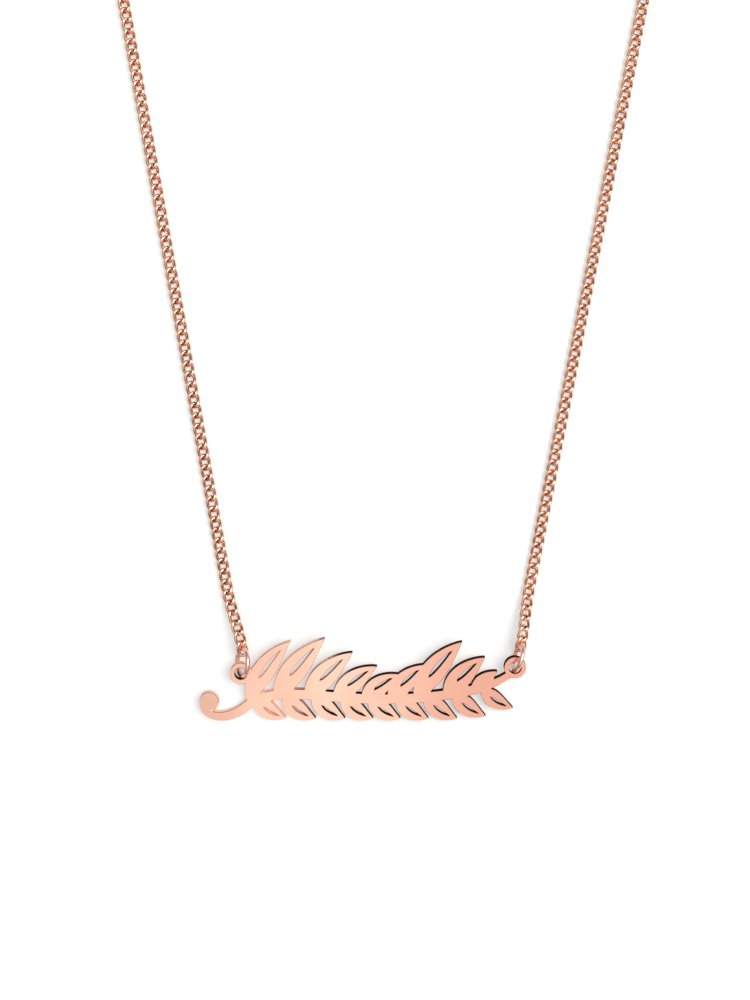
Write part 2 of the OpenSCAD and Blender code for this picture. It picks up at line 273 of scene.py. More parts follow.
def close_tree(start, geometry, material):
    """Ends a geometry tree in plain meshes of one material"""
    real = start.node("GeometryNodeRealizeInstances", {}, {"Geometry": geometry})
    done = start.node("GeometryNodeSetMaterial", {}, {"Geometry": real, "Material": material})
    start.node("NodeGroupOutput", {}, {"Geometry": done})
    return start.tree


def grow(name, base, tree, values):
    """The plain, closed mesh that a geometry tree makes of a base mesh, as a new object"""
    seed = bpy.data.objects.new(name + "_seed", base)
    bpy.context.scene.collection.objects.link(seed)
    modifier = seed.modifiers.new(tree.name, "NODES")
    modifier.node_group = tree
    for item in tree.interface.items_tree:
        if item.in_out == "INPUT" and item.name in values:
            modifier[item.identifier] = values[item.name]
    graph = bpy.context.evaluated_depsgraph_get()
    mesh = bpy.data.meshes.new_from_object(
        seed.evaluated_get(graph), preserve_all_data_layers=True, depsgraph=graph
    )
    bpy.data.objects.remove(seed)
    piece = add_object(name, mesh)
    check_closed(piece)
    return piece


def add_object(name, mesh):
    """Puts a mesh in the scene as an object of the same name"""
    mesh.name = name
    piece = bpy.data.objects.new(name, mesh)
    bpy.context.scene.collection.objects.link(piece)
    return piece


def merged_shell(mesh):
    """A copy of a mesh, for editing, with the corners merged that lie on one another"""
    shell = bmesh.new()
    shell.from_mesh(mesh)
    bmesh.ops.remove_doubles(shell, verts=shell.verts, dist=MERGE_REACH)
    bmesh.ops.dissolve_degenerate(shell, edges=shell.edges, dist=MERGE_REACH)
    return shell


def write_shell(shell, mesh):
    """Writes an edited shell into a mesh"""
    shell.to_mesh(mesh)
    shell.free()
    return mesh


def shade_round(mesh, crease):
    """Shades a mesh smooth up to creases of that many degrees"""
    mesh.shade_smooth()
    mesh.set_sharp_from_angle(angle=math.radians(crease))


def check_closed(piece):
    """Stops the script if a piece isn't closed or is inside out"""
    shell = bmesh.new()
    shell.from_mesh(piece.data)
    open_edges = sum(not edge.is_manifold for edge in shell.edges)
    volume = shell.calc_volume(signed=True)
    shell.free()
    if open_edges or volume <= 0:
        raise RuntimeError(f"{piece.name} has {open_edges} open edges and a volume of {volume}")


def dress(piece, node):
    """Puts a piece in the place of its node"""
    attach(piece, "root")
    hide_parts(node)


# Materials


def new_material(name):
    """An empty material and the start of its node tree"""
    material = bpy.data.materials.new(name)
    material.use_nodes = True
    material.node_tree.nodes.clear()
    return material, Wire(material.node_tree)


def close_material(material, start, values):
    """Ends a material in one metal shader, with its plain values on the shader's own sockets"""
    shader = start.node("ShaderNodeBsdfPrincipled", {}, {"Metallic": 1.0, **values})
    start.node("ShaderNodeOutputMaterial", {}, {"Surface": shader})
    return material


def object_place(start, stretch=(1, 1, 1)):
    """Object coordinates in millimetres, stretched along each axis"""
    place = start.node("ShaderNodeTexCoord", out="Object")
    scale = tuple(share / MM for share in stretch)
    return start.node("ShaderNodeMapping", {}, {"Vector": place, "Scale": scale})


def noise(start, place, scale, detail=2.0, roughness=0.5):
    """Noise from 0 to 1, with the scale counted per millimetre"""
    values = {"Vector": place, "Scale": scale, "Detail": detail, "Roughness": roughness}
    return start.node("ShaderNodeTexNoise", {}, values)


def bump(start, height, depth):
    """A normal from a height that runs from 0 to 1 over the given depth"""
    return start.node("ShaderNodeBump", {}, {"Height": height, "Distance": depth, "Strength": 1.0})


def plate_face():
    """Mirror-polished plating: faint clouds, painted shade that turns it redder and deeper to the right,
    buffing haze and hair scratches
    """
    colours = bpy.context.scene.necklace_colours
    material, start = new_material("plate_face")
    # Painted shade: from 0 to 10 mm along the plate the colour turns redder and deeper, for the less lit
    # right end.
    painted_shade_from, painted_shade_to = 0.0, 10.0
    clouds = noise(start, object_place(start), scale=0.16).ease(0.35, 0.65)
    along = start.node("ShaderNodeSeparateXYZ", {}, {"Vector": object_place(start)}, out="X")
    plating = clouds.between(rgba(colours.plate), rgba(colours.plate_pale))
    haze = noise(start, object_place(start), scale=0.9, detail=4.0, roughness=0.6)
    scratches = noise(start, object_place(start, (0.5, 9, 9)), scale=1.6, detail=3.0, roughness=0.7)
    return close_material(
        material,
        start,
        {
            "Base Color": along.ease(painted_shade_from, painted_shade_to).between(plating, rgba(colours.plate_painted_shade)),
            "Roughness": 0.15 + 0.08 * haze,
            "Normal": bump(start, scratches, 0.0006 * MM),
        },
    )


def plate_edge_painted_shading():
    """Sawn edge with the saw's streaks across the sheet: painted near black as shade for the dark
    surroundings it mirrors, and painted bright as a reflection where the stored mask says
    """
    colours = bpy.context.scene.necklace_colours
    material, start = new_material("plate_edge_painted_shading")
    streaks = noise(start, object_place(start, (7, 7, 0.6)), scale=1.4, detail=3.0, roughness=0.65)
    # Painted shade: near-black sawn edge for the dark surroundings it mirrors, with the saw's lighter
    # streaks.
    streaked_painted_dark = streaks.ease(0.52, 0.80).between(rgba(colours.cut), rgba(colours.cut_worn))
    # Painted bright reflection on the sawn edges, and painted shade in the eyelet's hole, from the stored
    # mask.
    painted_reflection = start.node("ShaderNodeAttribute", {"attribute_name": "painted_reflection"}, out="Fac")
    return close_material(
        material,
        start,
        {
            "Metallic": 0.0,
            "Specular IOR Level": 0.0,
            "Base Color": painted_reflection.between(streaked_painted_dark, rgba(colours.cut_painted_reflection)),
            "Roughness": 0.30 + 0.25 * streaks,
            "Normal": bump(start, streaks, 0.012 * MM),
        },
    )


def polished_wire():
    """Drawn and polished wire: redder where it isn't rubbed, with fine die lines"""
    colours = bpy.context.scene.necklace_colours
    material, start = new_material("polished_wire")
    lines = noise(start, object_place(start), scale=3.2, detail=4.0, roughness=0.6)
    unrubbed = noise(start, object_place(start), scale=0.7).ease(0.30, 0.72)
    return close_material(
        material,
        start,
        {
            "Metallic": 0.82,
            "Base Color": (0.35 * unrubbed).between(rgba(colours.wire), rgba(colours.wire_deep)),
            "Roughness": 0.17 + 0.14 * lines,
            "Normal": bump(start, lines, 0.003 * MM),
        },
    )


def chain_plating():
    """Curb links: pale outside, painted shade in deep copper on the inner sides, the shade a little
    lighter or darker on each link
    """
    colours = bpy.context.scene.necklace_colours
    material, start = new_material("chain_plating")
    # Painted shade on each link's inner sides, a little lighter or darker at random per link, with noise
    # tarnish added.
    painted_inner_shade = start.node("ShaderNodeAttribute", {"attribute_name": "painted_inner_shade"}, out="Fac")
    tone = start.node("ShaderNodeAttribute", {"attribute_name": "tone"}, out="Fac")
    tarnish = noise(start, object_place(start), scale=1.8, detail=3.0, roughness=0.6)
    deep = painted_inner_shade * (0.55 + 0.35 * tone) + 0.20 * tarnish
    return close_material(
        material,
        start,
        {
            "Base Color": deep.ease(0.05, 0.85).between(rgba(colours.chain), rgba(colours.chain_painted_shade)),
            "Roughness": 0.05 + 0.08 * painted_inner_shade + 0.05 * tarnish,
            "Normal": bump(start, tarnish, 0.004 * MM),
        },
    )


def table_white():
    """The table: matt and a little bright by itself, so that it stays white"""
    colours = bpy.context.scene.necklace_colours
    material, start = new_material("table_white")
    grain = noise(start, object_place(start), scale=1.2, detail=3.0, roughness=0.6)
    return close_material(
        material,
        start,
        {
            "Metallic": 0.0,
            "Base Color": rgba(colours.table),
            "Roughness": 0.9,
            "Specular IOR Level": 0.0,
            "Emission Color": rgba(colours.table_glow),
            "Emission Strength": bpy.context.scene.necklace_studio.glow,
            "Normal": bump(start, grain, 0.002 * MM),
        },
    )


# Route of the chain


def ahead(heading):
    """Unit vector along a heading, counted left-handed from +Y"""
    return Vector((-math.sin(heading), math.cos(heading), 0))


def beside(heading):
    """Unit vector to the right of a heading"""
    return Vector((math.cos(heading), math.sin(heading), 0))


def flat(point):
    """A point brought down to the table"""
    return Vector((point.x, point.y, 0))


def cross2(a, b):
    """Cross product of two flat vectors"""
    return a.x * b.y - a.y * b.x


def smooth(x):
    """0 below 0 and 1 above 1, with a smooth climb between"""
    t = min(max(x, 0.0), 1.0)
    return t * t * (3 - 2 * t)


class RingSeat:
    """How a jump ring hangs: its heading to the chain, its turn, its place and its far side"""

    def __init__(self, node, heading, turn, aside, behind):
        sizes = bpy.context.scene.necklace_sizes
        low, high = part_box(node)
        self.node = node
        self.centre = (low + high) / 2
        self.heading = heading
        self.turn = turn
        self.radius = (sizes.ring_d - sizes.ring_wire) / 2
        self.dip = sizes.ring_dip
        reach = self.radius * math.cos(self.dip)
        self.eyelet = flat(self.centre - ahead(heading) * (reach - behind) - beside(heading) * aside)
        drop = Vector((0, 0, self.radius * math.sin(self.dip)))
        self.far = self.centre + ahead(heading) * reach - drop

    def matrix(self):
        """Places a ring that is drawn flat round the origin"""
        return (
            Matrix.Translation(self.centre)
            @ Matrix.Rotation(QUARTER_TURN + self.heading, 4, "Z")
            @ Matrix.Rotation(self.dip, 4, "Y")
            @ Matrix.Rotation(HALF_TURN - self.turn, 4, "X")
        )

    def tangent(self):
        """Direction of the ring's wire at its far side"""
        up = Vector((0, 0, 1))
        rise = up * math.cos(self.dip) + ahead(self.heading) * math.sin(self.dip)
        return beside(self.heading) * math.cos(self.turn) + rise * math.sin(self.turn)


class Route:
    """The way of the chain: two leaning strands and the arc round the neck that joins them"""

    def __init__(self):
        sizes = bpy.context.scene.necklace_sizes
        self.sizes = sizes
        self.lean = {LEFT: sizes.left_lean, RIGHT: -sizes.right_lean}
        self.near = {
            LEFT: RingSeat(
                "jump_ring_left", self.lean[LEFT], sizes.left_turn, sizes.left_aside, sizes.ring_behind
            ),
            RIGHT: RingSeat(
                "jump_ring_right", self.lean[RIGHT], sizes.right_turn, sizes.right_aside, sizes.ring_behind
            ),
        }
        left_eyelet = self.near[LEFT].eyelet
        span = self.near[RIGHT].eyelet - left_eyelet
        self.length = sizes.loop_len - span.length
        arc = math.pi + sizes.left_lean + sizes.right_lean
        fixed = self.run_for(LEFT, 0) + self.run_for(RIGHT, 0)
        slope = self.run_for(LEFT, 1) + self.run_for(RIGHT, 1) - fixed
        self.neck_r = (self.length - fixed) / (arc + slope)
        self.run = {side: self.run_for(side, self.neck_r) for side in (LEFT, RIGHT)}
        arc_start = left_eyelet + ahead(self.lean[LEFT]) * self.run[LEFT]
        self.neck_mid = arc_start + self.inward(LEFT) * self.neck_r
        self.set_clasp()

    def inward(self, side):
        """Unit vector from a strand's straight run to the middle of the loop"""
        return side * beside(self.lean[side])

    def run_for(self, side, radius):
        """Length of one strand's straight run for an arc of that radius"""
        span = self.near[RIGHT].eyelet - self.near[LEFT].eyelet
        span += radius * (self.inward(RIGHT) - self.inward(LEFT))
        left = ahead(self.lean[LEFT])
        right = -ahead(self.lean[RIGHT])
        if side == LEFT:
            return cross2(span, right) / cross2(left, right)
        return cross2(left, span) / cross2(left, right)

    def place(self, side, s):
        """Place on the table of a station, counted from the eyelet"""
        if s < self.run[side]:
            return self.near[side].eyelet + ahead(self.lean[side]) * s
        heading = self.lean[side] - side * (s - self.run[side]) / self.neck_r
        return self.neck_mid - side * self.neck_r * beside(heading)

    def set_clasp(self):
        """Lays the clasp on a chord across the middle of the route"""
        sizes = self.sizes
        reach = (sizes.ring_d - sizes.ring_wire) * math.cos(sizes.ring_dip)
        self.tab_out = (sizes.clasp_d + sizes.eyelet_d) / 2 - sizes.tab_bite
        self.tube_r = (sizes.clasp_d - sizes.clasp_tube) / 2
        tab_reach = self.tab_out + reach - sizes.ring_behind
        catch_reach = self.tube_r + reach - sizes.catch_behind
        self.near_s = reach - sizes.ring_behind
        self.far_s = self.length / 2 - (tab_reach + catch_reach) / 2
        start = self.place(LEFT, self.far_s)
        axis = (self.place(RIGHT, self.far_s) - start).normalized()
        self.clasp_heading = math.atan2(-axis.x, axis.y)
        height = sizes.ring_wire + sizes.gap + sizes.clasp_tube / 2
        self.clasp_centre = start + axis * tab_reach + Vector((0, 0, height))
        turn = sizes.clasp_turn
        back = self.clasp_heading + HALF_TURN
        self.far = {
            LEFT: RingSeat("clasp_ring", back, turn, sizes.tab_aside, sizes.ring_behind),
            RIGHT: RingSeat(
                "closure_ring", self.clasp_heading, turn, sizes.catch_aside, sizes.catch_behind
            ),
        }

    def lift(self, x):
        """How much of its end's height a strand still has, that far from its end"""
        return 1 - smooth(x / self.sizes.lift_run)

    def strand(self, side, s):
        """Middle of a strand: on the table, and climbing to its ring near both ends"""

        def lying(station):
            return self.place(side, station) + Vector((0, 0, self.sizes.chain_t / 2))

        def end_at(seat):
            return seat.far + seat.tangent() * self.sizes.end_rise

        near = (end_at(self.near[side]) - lying(self.near_s)) * self.lift(s - self.near_s)
        far = (end_at(self.far[side]) - lying(self.far_s)) * self.lift(self.far_s - s)
        return lying(s) + near + far

    def frame_at(self, side, s):
        """Direction of a strand and the upright of its links"""
        step = 0.3 * MM
        direction = (self.strand(side, s + step) - self.strand(side, s - step)).normalized()
        left = Vector((-direction.y, direction.x, 0)).normalized()
        up = direction.cross(left)
        roll = self.sizes.end_roll * (self.lift(s - self.near_s) - self.lift(self.far_s - s))
        return direction, up * math.cos(roll) - left * math.sin(roll)


# Pieces

# A face belongs to the sheet's front or back if its normal is that near to upright
FLAT_SHARE = 0.99
# A corner sharper than a needle's stays where it is, and a sharp one moves by cut / MITRE_LIMIT at most
NEEDLE_TURN = 0.5
MITRE_LIMIT = 0.4
# Materials of the plate: its polished faces and its sawn sides
POLISHED = 0
SAWN = 1


def rim_corners(face, rim):
    """Corners of a face, in order, whose next edge is one of the rim's"""
    return [loop for loop in face.loops if loop.edge in rim]


def cut_back_rims(shell, up, cut):
    """Cuts back the rims between a sheet's two faces and its sides at 45 degrees"""
    front = [face for face in shell.faces if face.normal.dot(up) > FLAT_SHARE]
    back = [face for face in shell.faces if face.normal.dot(up) < -FLAT_SHARE]
    sides = [face for face in shell.faces if abs(face.normal.dot(up)) <= FLAT_SHARE]
    side_edges = {edge for face in sides for edge in face.edges}
    lowered = {}
    chamfers = []
    for way, caps in ((1, front), (-1, back)):
        rim = {edge for face in caps for edge in face.edges if edge in side_edges}
        inward = {}
        turns = []
        for face in caps:
            for loop in rim_corners(face, rim):
                start, end = loop.vert, loop.link_loop_next.vert
                normal = (way * up).cross(end.co - start.co).normalized()
                inward.setdefault(start, []).append(normal)
                inward.setdefault(end, []).append(normal)
                turns.append((start, end))
        for corner in inward:
            lowered[corner] = shell.verts.new(corner.co - way * up * cut)
        for start, end in turns:
            chamfers.append((end, start, lowered[start], lowered[end]))
        for corner, normals in inward.items():
            total = sum(normals, Vector())
            spread = total.length / len(normals)
            if total.length > NEEDLE_TURN:
                corner.co += total.normalized() * cut / max(spread, MITRE_LIMIT)
    for face in sides:
        corners = [lowered[corner] for corner in face.verts]
        shell.faces.new(corners).material_index = SAWN
    for corners in chamfers:
        shell.faces.new(corners).material_index = POLISHED
    bmesh.ops.delete(shell, geom=sides, context="FACES")


def mark_painted_reflection(mesh, sizes, eyelet):
    """Stores how much painted reflection each sawn edge gets: most towards the curl, and none in the
    eyelet's hole, which stays dark as painted shade
    """
    hole_reach = 0.6 * sizes.eyelet_hole_d
    painted_reflection = mesh.attributes.new("painted_reflection", "FLOAT", "FACE")
    for face, mark in zip(mesh.polygons, painted_reflection.data):
        # Painted reflection: edges get it up to a place along the plate, further on edges that face the
        # curl.
        end = sizes.painted_reflection_end + sizes.painted_reflection_turn * max(-face.normal.x, 0.0)
        # Painted shade: the walls of the left eyelet's hole get none and stay dark.
        in_hole = (flat(face.center) - eyelet).length < hole_reach
        mark.value = 0.0 if in_hole else 1 - smooth((face.center.x - end) / sizes.painted_reflection_fade)


def build_plate(route):
    """The pierced plate: the frame's sheet with polished rims and sawn sides painted dark as shade, with a
    painted reflection towards the curl
    """
    sizes = bpy.context.scene.necklace_sizes
    shell = merged_shell(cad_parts["nameplate"].data)
    up = Vector((0, -math.sin(sizes.plate_tilt), math.cos(sizes.plate_tilt)))
    cut_back_rims(shell, up, sizes.rim_cut)
    mesh = write_shell(shell, bpy.data.meshes.new("nameplate_sheet"))
    mesh.attributes.remove(mesh.attributes["custom_normal"])
    shade_round(mesh, 32)
    for face in mesh.polygons:
        face.use_smooth = abs(face.normal.dot(up)) < FLAT_SHARE
    # Painted reflection on the sawn edges towards the curl, and painted shade in the eyelet's hole.
    mark_painted_reflection(mesh, sizes, route.near[LEFT].eyelet)
    mesh.materials.append(plate_face())
    mesh.materials.append(plate_edge_painted_shading())
    dress(add_object("nameplate_sheet", mesh), "nameplate")


def ring_tree():
    """A wire ring round the origin whose ends nearly meet"""
    start, given = geometry_tree(
        "jump ring",
        {
            "Geometry": "Geometry",
            "Radius": "Float",
            "Wire": "Float",
            "Seam": "Float",
            "Seam Place": "Float",
            "Points": "Int",
            "Sides": "Int",
            "Material": "Material",
        },
    )
    seam_turn = start.math("DIVIDE", given["Seam"], given["Radius"])
    arc = start.node(
        "GeometryNodeCurveArc",
        {"mode": "RADIUS"},
        {
            "Resolution": given["Points"],
            "Radius": given["Radius"],
            "Start Angle": given["Seam Place"],
            "Sweep Angle": 2 * math.pi - seam_turn,
        },
    )
    profile = start.node(
        "GeometryNodeCurvePrimitiveCircle",
        {"mode": "RADIUS"},
        {"Resolution": given["Sides"], "Radius": 0.5 * given["Wire"]},
    )
    skin = start.node(
        "GeometryNodeCurveToMesh", {}, {"Curve": arc, "Profile Curve": profile, "Fill Caps": True}
    )
    return close_tree(start, skin, given["Material"])


def build_rings(route):
    """The four jump rings, each closed by its own fine seam"""
    sizes = bpy.context.scene.necklace_sizes
    tree = ring_tree()
    metal = polished_wire()
    seam_degrees = {
        "jump_ring_left": 200,
        "jump_ring_right": 60,
        "clasp_ring": 120,
        "closure_ring": 250,
    }
    for seat in (*route.near.values(), *route.far.values()):
        piece = grow(
            seat.node + "_wire",
            bpy.data.meshes.new("empty"),
            tree,
            {
                "Radius": seat.radius,
                "Wire": sizes.ring_wire,
                "Seam": sizes.ring_seam,
                "Seam Place": math.radians(seam_degrees[seat.node]),
                "Points": sizes.ring_points,
                "Sides": sizes.ring_sides,
                "Material": metal,
            },
        )
        piece.data.transform(seat.matrix())
        shade_round(piece.data, 50)
        dress(piece, seat.node)


def link_tree():
    """Curb links on the stations of a strand: an oval wire, twisted so that its sides rise and fall"""
    start, given = geometry_tree(
        "curb links",
        {
            "Geometry": "Geometry",
            "Pitch": "Float",
            "Width": "Float",
            "Thickness": "Float",
            "Gap": "Float",
            "Wire": "Float",
            "Points": "Int",
            "Sides": "Int",
            "Sway": "Float",
            "Seed": "Int",
            "Material": "Material",
        },
    )
    circle = start.node(
        "GeometryNodeCurvePrimitiveCircle",
        {"mode": "RADIUS"},
        {"Resolution": given["Points"], "Radius": 1.0},
    )
    index = start.node("GeometryNodeInputIndex")
    turn = index * start.math("DIVIDE", 2 * math.pi, given["Points"])
    place = start.node(
        "ShaderNodeCombineXYZ",
        {},
        {
            "X": 0.5 * (given["Pitch"] + given["Wire"] + given["Gap"]) * turn.cos(),
            "Y": 0.5 * (given["Width"] - given["Wire"]) * turn.sin(),
            "Z": 0.5 * (given["Thickness"] - given["Wire"]) * (2 * turn).sin(),
        },
    )
    line = start.node("GeometryNodeSetPosition", {}, {"Geometry": circle, "Position": place})
    profile = start.node(
        "GeometryNodeCurvePrimitiveCircle",
        {"mode": "RADIUS"},
        {"Resolution": given["Sides"], "Radius": 0.5 * given["Wire"]},
    )
    skin = start.node("GeometryNodeCurveToMesh", {}, {"Curve": line, "Profile Curve": profile})
    skin = start.node("GeometryNodeSetShadeSmooth", {}, {"Geometry": skin, "Shade Smooth": True})
    # Painted shade: the mask rises where the wire faces the link's middle, so each link's inner sides are
    # drawn deep copper.
    outward = start.vector("NORMALIZE", start.node("GeometryNodeInputPosition"))
    facing = start.vector("DOT_PRODUCT", outward, start.node("GeometryNodeInputNormal"), out="Value")
    link = start.node(
        "GeometryNodeStoreNamedAttribute",
        {"data_type": "FLOAT", "domain": "POINT"},
        {"Geometry": skin, "Name": "painted_inner_shade", "Value": (0 - facing).ease(-0.45, 0.55)},
    )

    def station(name, kind="FLOAT_VECTOR"):
        return start.node("GeometryNodeInputNamedAttribute", {"data_type": kind}, {"Name": name})

    def chance(low, high, seed):
        return start.node(
            "FunctionNodeRandomValue", {"data_type": "FLOAT"}, {2: low, 3: high, "Seed": seed}, out=1
        )

    loose = station("loose", "FLOAT") * given["Sway"]
    sway = start.node(
        "ShaderNodeCombineXYZ",
        {},
        {
            "X": loose * chance(-1.0, 1.0, given["Seed"]),
            "Y": 0.3 * loose * chance(-1.0, 1.0, given["Seed"] + 1),
            "Z": loose * chance(-1.0, 1.0, given["Seed"] + 2),
        },
    )
    axes = start.node(
        "FunctionNodeAxesToRotation",
        {"primary_axis": "X", "secondary_axis": "Z"},
        {"Primary Axis": station("ahead"), "Secondary Axis": station("upright")},
    )
    turned = start.node(
        "FunctionNodeRotateRotation",
        {"rotation_space": "LOCAL"},
        {"Rotation": axes, "Rotate By": start.node("FunctionNodeEulerToRotation", {}, {"Euler": sway})},
    )
    row = start.node(
        "GeometryNodeInstanceOnPoints",
        {},
        {"Points": given["Geometry"], "Instance": link, "Rotation": turned},
    )
    row = start.node(
        "GeometryNodeStoreNamedAttribute",
        {"data_type": "FLOAT", "domain": "INSTANCE"},
        {"Geometry": row, "Name": "tone", "Value": chance(0.0, 1.0, given["Seed"] + 3)},
    )
    return close_tree(start, row, given["Material"])


def station_mesh(route, side):
    """One point for each link of a strand, with its direction, its upright and how loose it lies"""
    sizes = bpy.context.scene.necklace_sizes
    run = route.far_s - route.near_s
    steps = round(run / sizes.link_pitch)
    stations = [route.near_s + run * i / steps for i in range(steps + 1)]
    mesh = bpy.data.meshes.new("stations")
    mesh.vertices.add(len(stations))
    mesh.attributes.new("ahead", "FLOAT_VECTOR", "POINT")
    mesh.attributes.new("upright", "FLOAT_VECTOR", "POINT")
    mesh.attributes.new("loose", "FLOAT", "POINT")
    tied = 3
    clear = Vector((0, 0, 0.012 * MM))
    for i, s in enumerate(stations):
        direction, up = route.frame_at(side, s)
        free = tied < i < steps - tied
        mesh.vertices[i].co = route.strand(side, s) + (clear if free else Vector())
        mesh.attributes["ahead"].data[i].vector = direction
        mesh.attributes["upright"].data[i].vector = up
        mesh.attributes["loose"].data[i].value = 1.0 if free else 0.0
    return mesh


def build_chains(route):
    """The two strands of real curb links"""
    sizes = bpy.context.scene.necklace_sizes
    tree = link_tree()
    metal = chain_plating()
    for side, node in ((LEFT, "chain_left"), (RIGHT, "chain_right")):
        piece = grow(
            node + "_links",
            station_mesh(route, side),
            tree,
            {
                "Pitch": sizes.link_pitch,
                "Width": sizes.chain_w,
                "Thickness": sizes.chain_t,
                "Gap": sizes.gap,
                "Wire": sizes.link_wire,
                "Points": sizes.link_points,
                "Sides": sizes.link_sides,
                "Sway": sizes.link_sway,
                "Seed": SEED + side,
                "Material": metal,
            },
        )
        dress(piece, node)


def lathe(shell, matrix, outline, steps):
    """A closed shell turned round the local Z axis from pairs of radius and height"""
    rows = []
    for i in range(steps):
        turn = 2 * math.pi * i / steps
        rows.append(
            [
                shell.verts.new(matrix @ Vector((r * math.cos(turn), r * math.sin(turn), z)))
                for r, z in outline
            ]
        )
    return rows


def skin_rows(shell, rows, closed_across):
    """Quads between rows of corners, the last row joined to the first"""
    for i, row in enumerate(rows):
        after = rows[(i + 1) % len(rows)]
        for j in range(len(row) if closed_across else len(row) - 1):
            k = (j + 1) % len(row)
            shell.faces.new((row[j], after[j], after[k], row[k]))


def clasp_tube_radius(sizes, turn):
    """Radius of the spring ring's tube: thinner where its gate slides into it"""
    gate_from, gate_to, slope = 302, 354, 2
    groove_w = 1.4
    gate_cut, groove_cut = 0.14, 0.05
    degrees = math.degrees(turn) % 360
    gate = smooth((degrees - gate_from) / slope) * smooth((gate_to - degrees) / slope)
    groove = sum(math.exp(-(((degrees - end) / groove_w) ** 2)) for end in (gate_from - 1, gate_to + 1))
    return sizes.clasp_tube / 2 * (1 - gate_cut * gate - groove_cut * groove)


def round_bend(middle, radius, first, last, steps, skip=0):
    """Points of a bend in an outline, from one angle in degrees to another"""
    bends = [math.radians(first + (last - first) * j / steps) for j in range(skip, steps + 1 - skip)]
    return [(middle[0] + radius * math.cos(b), middle[1] + radius * math.sin(b)) for b in bends]


def clasp_body(sizes, route, place):
    """The spring ring's round tube"""
    shell = bmesh.new()
    steps = 240
    sides = 24
    rows = []
    for i in range(steps):
        turn = 2 * math.pi * i / steps
        radius = clasp_tube_radius(sizes, turn)
        outline = round_bend((route.tube_r, 0), radius, 0, 360, sides)[:sides]
        around = place @ Matrix.Rotation(turn, 4, "Z")
        rows.append([shell.verts.new(around @ Vector((x, 0, z))) for x, z in outline])
    skin_rows(shell, rows, True)
    return shell


def clasp_tab(sizes, route, place):
    """The flat eyelet on the tube, with rounded rims"""
    shell = bmesh.new()
    steps = 64
    rim = 0.14 * MM
    outer = sizes.eyelet_d / 2 - rim
    inner = sizes.eyelet_hole_d / 2 + rim
    half = sizes.clasp_tab_t / 2 - rim
    outline = []
    for r, z, first in ((outer, half, 0), (inner, half, 90), (inner, -half, 180), (outer, -half, 270)):
        outline += round_bend((r, z), rim, first, first + 90, 4)
    rows = lathe(shell, place @ Matrix.Translation((-route.tab_out, 0, 0)), outline, steps)
    skin_rows(shell, rows, True)
    return shell


def clasp_knob(sizes, route, place):
    """The thumb knob, which stands out of the tube and has a rounded end"""
    shell = bmesh.new()
    steps = 40
    knob_r = sizes.knob_d / 2
    dome = 0.2 * MM
    shoulder = sizes.clasp_tube / 2 + sizes.knob_len - dome
    knob_place = (
        place
        @ Matrix.Rotation(sizes.knob_at, 4, "Z")
        @ Matrix.Translation((route.tube_r, 0, 0))
        @ Matrix.Rotation(QUARTER_TURN, 4, "Y")
    )
    outline = [(knob_r, 0.0), (knob_r, shoulder)]
    outline += round_bend((knob_r - dome, shoulder), dome, 0, 90, 6, skip=1)
    rows = lathe(shell, knob_place, outline, steps)
    skin_rows(shell, rows, False)
    shell.faces.new([row[0] for row in rows])
    shell.faces.new([row[-1] for row in rows])
    return shell


def unite(name, shells, material):
    """One closed mesh from closed shells that overlap"""
    pieces = []
    for i, shell in enumerate(shells):
        bmesh.ops.recalc_face_normals(shell, faces=shell.faces)
        mesh = write_shell(shell, bpy.data.meshes.new(f"{name}_{i}"))
        mesh.materials.append(material)
        pieces.append(add_object(mesh.name, mesh))
    for other in pieces[1:]:
        joint = pieces[0].modifiers.new(other.name, "BOOLEAN")
        joint.operation = "UNION"
        joint.solver = "EXACT"
        joint.object = other
    graph = bpy.context.evaluated_depsgraph_get()
    joined = bpy.data.meshes.new_from_object(pieces[0].evaluated_get(graph), depsgraph=graph)
    for piece in pieces:
        bpy.data.objects.remove(piece)
    return add_object(name, write_shell(merged_shell(joined), joined))


def build_clasp(route):
    """The spring ring: its tube with a sliding gate, its eyelet and its thumb knob"""
    sizes = bpy.context.scene.necklace_sizes
    turned = Matrix.Rotation(QUARTER_TURN + route.clasp_heading, 4, "Z")
    place = Matrix.Translation(route.clasp_centre) @ turned
    shells = [part(sizes, route, place) for part in (clasp_body, clasp_tab, clasp_knob)]
    piece = unite("clasp_spring_ring", shells, polished_wire())
    shade_round(piece.data, 40)
    check_closed(piece)
    dress(piece, "clasp")


# Stage

WHITE = (1.0, 1.0, 1.0)
DAYLIGHT = (0.94, 0.985, 1.0)
LAMPLIGHT = (1.0, 0.95, 0.87)
WARM_WHITE = (1.0, 0.98, 0.96)


def add_panel(name, place, target, size, brightness, tone):
    """A square light panel of the given brightness that looks at a point"""
    light = bpy.data.lights.new(name, "AREA")
    light.shape = "RECTANGLE"
    light.size = size[0]
    light.size_y = size[1]
    light.energy = brightness * math.pi * size[0] * size[1]
    light.color = tone
    panel = bpy.data.objects.new(name, light)
    panel.location = place
    panel.rotation_euler = (Vector(target) - Vector(place)).to_track_quat("-Z", "Y").to_euler()
    panel.visible_camera = False
    bpy.context.scene.collection.objects.link(panel)


